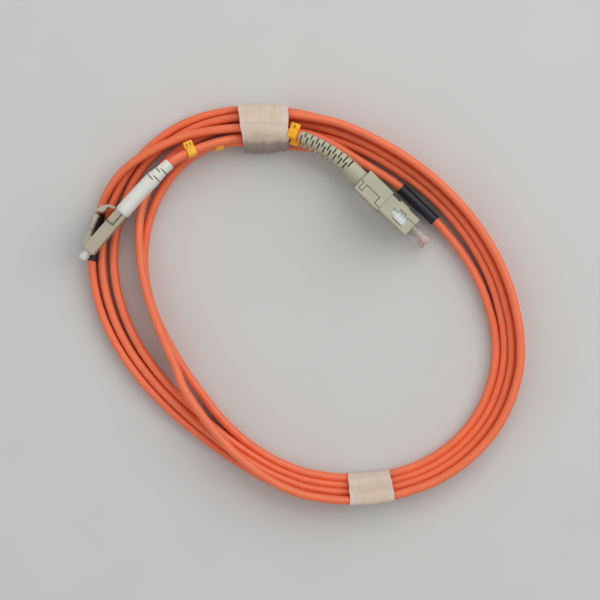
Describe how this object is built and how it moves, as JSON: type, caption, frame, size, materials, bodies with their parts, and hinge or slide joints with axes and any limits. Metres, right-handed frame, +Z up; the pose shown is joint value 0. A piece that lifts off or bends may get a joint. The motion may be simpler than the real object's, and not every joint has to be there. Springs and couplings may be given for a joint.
{
  "type": "fiber optic patch cord",
  "caption": "Duplex multimode fiber optic patch cord with LC and SC duplex plugs, its orange zip cord coiled and bound with masking tape.",
  "frame": {"origin": "on the table, under the middle of the box round the two plug pairs, their caps and clips, and the two tapes", "axes": "+Z up from the table the coil lies on; +Y towards the taped side where the plugs are; +X towards the SC side"},
  "size_m": [0.1608, 0.1456, 0.0228],
  "materials": {
    "orange_jacket": "satin",
    "black_shrink": "matte",
    "yellow_ring": "satin",
    "masking_tape": "matte, creped",
    "zirconia": "polished",
    "nickel_plate": "satin",
    "spring_steel": "drawn wire",
    "buffered_fiber": "smooth",
    "white_plastic": "satin",
    "milky_cap": "translucent",
    "clear_cap": "translucent",
    "beige_plastic": "moulded"
  },
  "bodies": {
    "cord_set": {"duplex_cord": "orange_jacket", "lc_leg_a": "orange_jacket", "lc_leg_b": "orange_jacket", "sc_leg_a": "orange_jacket", "sc_leg_b": "orange_jacket", "lc_split_sleeve": "black_shrink", "sc_split_sleeve": "black_shrink", "lc_marker_a": "yellow_ring", "lc_marker_b": "yellow_ring", "sc_marker_a": "yellow_ring", "sc_marker_b": "yellow_ring", "top_tape": "masking_tape", "bottom_tape": "masking_tape", "lc_housing_a": "beige_plastic", "lc_housing_b": "beige_plastic", "lc_spring_a": "spring_steel", "lc_spring_b": "spring_steel", "lc_back_body_a": "beige_plastic", "lc_back_body_b": "beige_plastic", "lc_crimp_sleeve_a": "nickel_plate", "lc_crimp_sleeve_b": "nickel_plate", "lc_boot_a": "white_plastic", "lc_boot_b": "white_plastic", "lc_duplex_clip": "beige_plastic", "sc_plug_frame_a": "white_plastic", "sc_plug_frame_b": "white_plastic", "sc_spring_a": "spring_steel", "sc_spring_b": "spring_steel", "sc_back_body_a": "beige_plastic", "sc_back_body_b": "beige_plastic", "sc_crimp_sleeve_a": "nickel_plate", "sc_crimp_sleeve_b": "nickel_plate", "sc_boot_a": "beige_plastic", "sc_boot_b": "beige_plastic"},
    "lc_trigger": {"lc_trigger": "beige_plastic"},
    "lc_latch_a": {"lc_latch_a": "beige_plastic"},
    "lc_latch_b": {"lc_latch_b": "beige_plastic"},
    "sc_coupler": {"sc_housing_a": "beige_plastic", "sc_housing_b": "beige_plastic", "sc_clip_upper": "beige_plastic", "sc_clip_lower": "beige_plastic"},
    "lc_ferrule_a": {"lc_ferrule_a": "zirconia", "lc_flange_a": "nickel_plate", "lc_fiber_a": "buffered_fiber"},
    "lc_dust_cap_a": {"lc_dust_cap_a": "milky_cap"},
    "lc_ferrule_b": {"lc_ferrule_b": "zirconia", "lc_flange_b": "nickel_plate", "lc_fiber_b": "buffered_fiber"},
    "lc_dust_cap_b": {"lc_dust_cap_b": "milky_cap"},
    "sc_ferrule_a": {"sc_ferrule_a": "zirconia", "sc_flange_a": "nickel_plate", "sc_fiber_a": "buffered_fiber"},
    "sc_dust_cap_a": {"sc_dust_cap_a": "clear_cap"},
    "sc_ferrule_b": {"sc_ferrule_b": "zirconia", "sc_flange_b": "nickel_plate", "sc_fiber_b": "buffered_fiber"},
    "sc_dust_cap_b": {"sc_dust_cap_b": "clear_cap"}
  },
  "joints": [
    {"name": "lc_trigger_press", "type": "hinge", "parent": "cord_set", "child": "lc_trigger", "pos_m": [-0.05069, 0.0348, 0.01353], "axis": [0, 0, 1], "range_deg": [0, 14], "stiffness_Nm_per_rad": 0.003},
    {"name": "lc_latch_a_press", "type": "hinge", "parent": "cord_set", "child": "lc_latch_a", "pos_m": [-0.05955, 0.02514, 0.01665], "axis": [0, 0, -1], "range_deg": [0, 12.7]},
    {"name": "lc_latch_b_press", "type": "hinge", "parent": "cord_set", "child": "lc_latch_b", "pos_m": [-0.05955, 0.02514, 0.0104], "axis": [0, 0, -1], "range_deg": [0, 12.7]},
    {"name": "lc_ferrule_a_retreat", "type": "slide", "parent": "cord_set", "child": "lc_ferrule_a", "axis": [0.6561, 0.7547, 0], "range_m": [0, 0.0008], "stiffness_N_per_m": 1700, "springref_m": -0.003, "deforming": ["lc_spring_a"]},
    {"name": "lc_ferrule_b_retreat", "type": "slide", "parent": "cord_set", "child": "lc_ferrule_b", "axis": [0.6561, 0.7547, 0], "range_m": [0, 0.0008], "stiffness_N_per_m": 1700, "springref_m": -0.003, "deforming": ["lc_spring_b"]},
    {"name": "sc_ferrule_a_retreat", "type": "slide", "parent": "cord_set", "child": "sc_ferrule_a", "axis": [-0.7157, 0.6984, 0], "range_m": [0, 0.001], "stiffness_N_per_m": 2500, "springref_m": -0.003, "deforming": ["sc_spring_a"]},
    {"name": "sc_ferrule_b_retreat", "type": "slide", "parent": "cord_set", "child": "sc_ferrule_b", "axis": [-0.7157, 0.6984, 0], "range_m": [0, 0.001], "stiffness_N_per_m": 2500, "springref_m": -0.003, "deforming": ["sc_spring_b"]},
    {"name": "lc_dust_cap_a_pull", "type": "slide", "parent": "cord_set", "child": "lc_dust_cap_a", "axis": [-0.6561, -0.7547, 0], "range_m": [0, 0.012]},
    {"name": "lc_dust_cap_b_pull", "type": "slide", "parent": "cord_set", "child": "lc_dust_cap_b", "axis": [-0.6561, -0.7547, 0], "range_m": [0, 0.012]},
    {"name": "sc_dust_cap_a_pull", "type": "slide", "parent": "cord_set", "child": "sc_dust_cap_a", "axis": [0.7157, -0.6984, 0], "range_m": [0, 0.014]},
    {"name": "sc_dust_cap_b_pull", "type": "slide", "parent": "cord_set", "child": "sc_dust_cap_b", "axis": [0.7157, -0.6984, 0], "range_m": [0, 0.014]},
    {"name": "sc_coupler_release", "type": "slide", "parent": "cord_set", "child": "sc_coupler", "axis": [-0.7157, 0.6984, 0], "range_m": [0, 0.001]}
  ],
  "couplings": [
    {"joint": "lc_latch_a_press", "follows": "lc_trigger_press", "ratio": 0.9},
    {"joint": "lc_latch_b_press", "follows": "lc_trigger_press", "ratio": 0.9}
  ]
}
